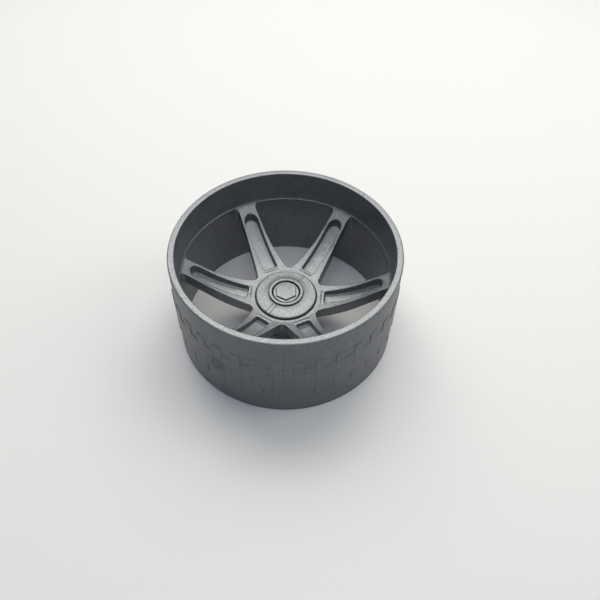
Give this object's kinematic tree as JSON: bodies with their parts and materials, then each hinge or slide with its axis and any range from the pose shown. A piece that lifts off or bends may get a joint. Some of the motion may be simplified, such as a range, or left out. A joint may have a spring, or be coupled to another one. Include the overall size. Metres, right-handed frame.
{
  "type": "model car racing wheel",
  "caption": "Small hard plastic racing wheel of a model car: a wide thin drum with a castellated tread, deeply dished spokes and a ball-bearing hub on a stub spindle.",
  "frame": {"origin": "on the wheel's axis, level with the back edge it lies on", "axes": "+Z along the wheel's axis, out of its face; +X and +Y across it, with the first spoke at 53.2 degrees from +X"},
  "size_m": [0.0524, 0.0524, 0.026],
  "materials": {
    "tyre_plastic": "satin silver-grey moulded plastic with fine metallic flake",
    "rim_plastic": "satin silver-grey moulded plastic with fine metallic flake",
    "screw_grey": "satin silver-grey, like the cap around it",
    "turned_steel": "fine turned steel",
    "bearing_steel": "ground and polished bearing steel",
    "shield_steel": "pressed bright steel sheet",
    "cage_brass": "satin brass",
    "spring_steel": "blued spring steel"
  },
  "bodies": {
    "spindle": {"spindle": "turned_steel", "bearing_spacer": "turned_steel", "retaining_washer": "turned_steel", "hub_screw": "screw_grey", "front_bearing_inner_ring": "bearing_steel", "back_bearing_inner_ring": "bearing_steel"},
    "wheel": {"tyre": "tyre_plastic", "spoked_rim": "rim_plastic", "centre_cap": "rim_plastic", "retaining_ring": "spring_steel", "front_bearing_outer_ring": "bearing_steel", "front_bearing_front_shield": "shield_steel", "front_bearing_back_shield": "shield_steel", "back_bearing_outer_ring": "bearing_steel", "back_bearing_front_shield": "shield_steel", "back_bearing_back_shield": "shield_steel"},
    "front_cage": {"front_bearing_cage": "cage_brass", "front_bearing_balls": "bearing_steel"},
    "back_cage": {"back_bearing_cage": "cage_brass", "back_bearing_balls": "bearing_steel"}
  },
  "joints": [
    {"name": "wheel_spin", "type": "hinge", "parent": "spindle", "child": "wheel", "pos_m": [0, 0, 0.00475], "axis": [0, 0, 1], "continuous": true},
    {"name": "front_cage_spin", "type": "hinge", "parent": "spindle", "child": "front_cage", "pos_m": [0, 0, 0.00635], "axis": [0, 0, 1], "continuous": true},
    {"name": "back_cage_spin", "type": "hinge", "parent": "spindle", "child": "back_cage", "pos_m": [0, 0, 0.00315], "axis": [0, 0, 1], "continuous": true}
  ],
  "couplings": [
    {"joint": "front_cage_spin", "follows": "wheel_spin", "ratio": 0.56923},
    {"joint": "back_cage_spin", "follows": "wheel_spin", "ratio": 0.56923}
  ]
}
